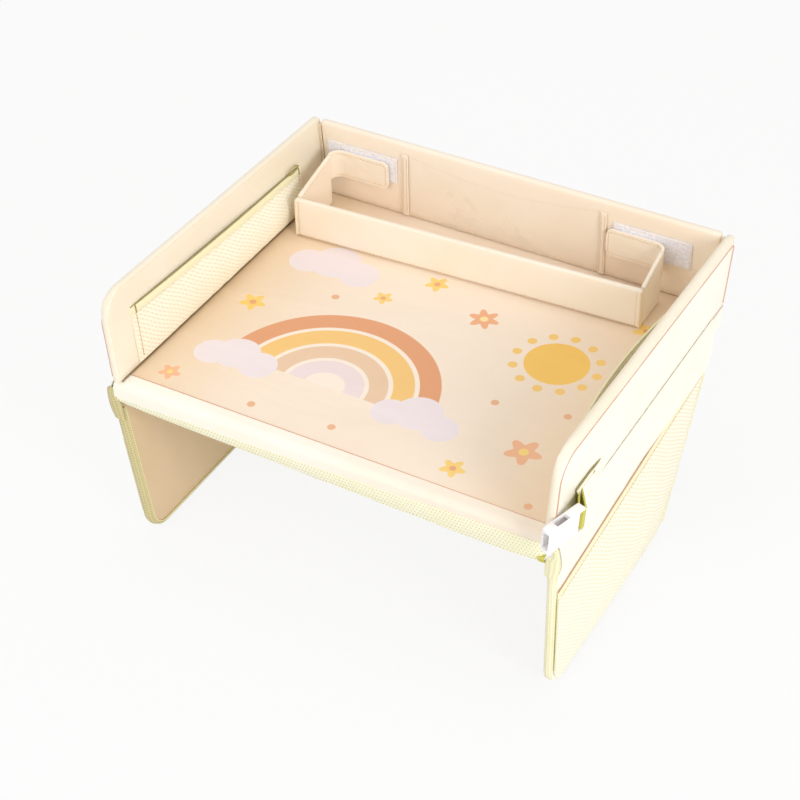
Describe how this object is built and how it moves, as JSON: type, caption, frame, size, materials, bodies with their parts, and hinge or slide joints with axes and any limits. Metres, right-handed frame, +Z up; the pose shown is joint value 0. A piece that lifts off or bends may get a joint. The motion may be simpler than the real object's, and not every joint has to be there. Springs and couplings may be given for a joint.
{
  "type": "car seat tray table",
  "caption": "Padded fabric lap tray for a child seat with fold-down walls, hanging leg flaps, mesh pockets, a clear phone pocket and a fold-flat organiser.",
  "frame": {"origin": "middle of the floor under the tray, on the plane its leg flaps stand on", "axes": "+X across the tray to the user's right as seen from the open front edge, +Y from the open front edge to the back wall, +Z up"},
  "size_m": [0.4366, 0.3558, 0.2485],
  "materials": {
    "coated_cream_cloth": "smooth coated cloth",
    "printed_cream_cloth": "smooth coated cloth with a print",
    "yellow_air_mesh": "open knitted mesh",
    "yellow_elastic": "ribbed elastic",
    "grey_hollow_board": "hollow plastic board",
    "white_foam": "soft foam",
    "clear_film": "clear flexible film",
    "white_loop_tape": "hook and loop tape",
    "white_moulded_plastic": "moulded",
    "olive_webbing": "woven webbing"
  },
  "bodies": {
    "tray": {"tray_top_fabric": "printed_cream_cloth", "tray_board": "grey_hollow_board", "lap_pad_foam": "white_foam", "underside_mesh": "yellow_air_mesh", "front_band": "coated_cream_cloth", "left_side_band": "coated_cream_cloth", "right_side_band": "coated_cream_cloth", "rear_band": "coated_cream_cloth"},
    "left_wall": {"left_wall_cover": "coated_cream_cloth", "left_wall_board": "grey_hollow_board", "left_inner_pocket": "yellow_air_mesh", "left_inner_pocket_hem": "yellow_elastic", "left_corner_loop_strip": "white_loop_tape", "left_strap_webbing": "olive_webbing", "left_buckle_socket": "white_moulded_plastic"},
    "right_wall": {"right_wall_cover": "coated_cream_cloth", "right_wall_board": "grey_hollow_board", "right_inner_pocket": "yellow_air_mesh", "right_inner_pocket_hem": "yellow_elastic", "right_corner_loop_strip": "white_loop_tape", "right_strap_webbing": "olive_webbing", "right_buckle_socket": "white_moulded_plastic"},
    "back_wall": {"back_wall_cover": "coated_cream_cloth", "back_wall_board": "grey_hollow_board", "phone_window_film": "clear_film", "left_window_binding": "coated_cream_cloth", "right_window_binding": "coated_cream_cloth", "left_loop_patch": "white_loop_tape", "right_loop_patch": "white_loop_tape", "left_corner_hook_strip": "white_loop_tape", "right_corner_hook_strip": "white_loop_tape"},
    "left_leg": {"left_leg_cover": "coated_cream_cloth", "left_leg_board": "grey_hollow_board", "left_leg_binding": "yellow_air_mesh", "left_outer_pocket": "yellow_air_mesh", "left_outer_pocket_hem": "yellow_elastic"},
    "right_leg": {"right_leg_cover": "coated_cream_cloth", "right_leg_board": "grey_hollow_board", "right_leg_binding": "yellow_air_mesh", "right_outer_pocket": "yellow_air_mesh", "right_outer_pocket_hem": "yellow_elastic"},
    "organiser_front": {"organiser_front_cover": "coated_cream_cloth", "organiser_front_stiffener": "white_foam"},
    "organiser_left_end": {"organiser_left_end": "coated_cream_cloth"},
    "organiser_left_tab": {"organiser_left_tab": "coated_cream_cloth", "organiser_left_tab_hook": "white_loop_tape"},
    "organiser_right_end": {"organiser_right_end": "coated_cream_cloth"},
    "organiser_right_tab": {"organiser_right_tab": "coated_cream_cloth", "organiser_right_tab_hook": "white_loop_tape"}
  },
  "joints": [
    {"name": "left_wall_fold", "type": "hinge", "parent": "tray", "child": "left_wall", "pos_m": [-0.20648, -0.16006, 0.1648], "axis": [0, -1, 0], "range_deg": [0, 84]},
    {"name": "right_wall_fold", "type": "hinge", "parent": "tray", "child": "right_wall", "pos_m": [0.19952, -0.16006, 0.1648], "axis": [0, 1, 0], "range_deg": [0, 84]},
    {"name": "back_wall_fold", "type": "hinge", "parent": "tray", "child": "back_wall", "pos_m": [-0.00348, 0.17794, 0.1648], "axis": [-1, 0, 0], "range_deg": [0, 90]},
    {"name": "left_leg_fold", "type": "hinge", "parent": "tray", "child": "left_leg", "pos_m": [-0.20148, -0.16006, 0.14], "axis": [0, -1, 0], "range_deg": [-53, 82]},
    {"name": "right_leg_fold", "type": "hinge", "parent": "tray", "child": "right_leg", "pos_m": [0.19452, -0.16006, 0.14], "axis": [0, 1, 0], "range_deg": [-45, 90]},
    {"name": "organiser_front_fold", "type": "hinge", "parent": "tray", "child": "organiser_front", "pos_m": [-0.18408, 0.09394, 0.1651], "axis": [0.9986, 0.0523, 0], "range_deg": [0, 88]},
    {"name": "organiser_left_end_fold", "type": "hinge", "parent": "organiser_front", "child": "organiser_left_end", "pos_m": [-0.18043, 0.10064, 0.1651], "axis": [0, 0, -1], "range_deg": [0, 85]},
    {"name": "organiser_right_end_fold", "type": "hinge", "parent": "organiser_front", "child": "organiser_right_end", "pos_m": [0.14568, 0.11772, 0.1651], "axis": [0, 0, 1], "range_deg": [0, 85]},
    {"name": "organiser_left_tab_fold", "type": "hinge", "parent": "organiser_left_end", "child": "organiser_left_tab", "pos_m": [-0.18443, 0.15514, 0.1651], "axis": [0, 0, 1], "range_deg": [0, 85]},
    {"name": "organiser_right_tab_fold", "type": "hinge", "parent": "organiser_right_end", "child": "organiser_right_tab", "pos_m": [0.14968, 0.15514, 0.1651], "axis": [0, 0, -1], "range_deg": [0, 85]}
  ],
  "couplings": [
    {"joint": "organiser_left_tab_fold", "follows": "organiser_left_end_fold", "ratio": 1},
    {"joint": "organiser_right_tab_fold", "follows": "organiser_right_end_fold", "ratio": 1}
  ]
}
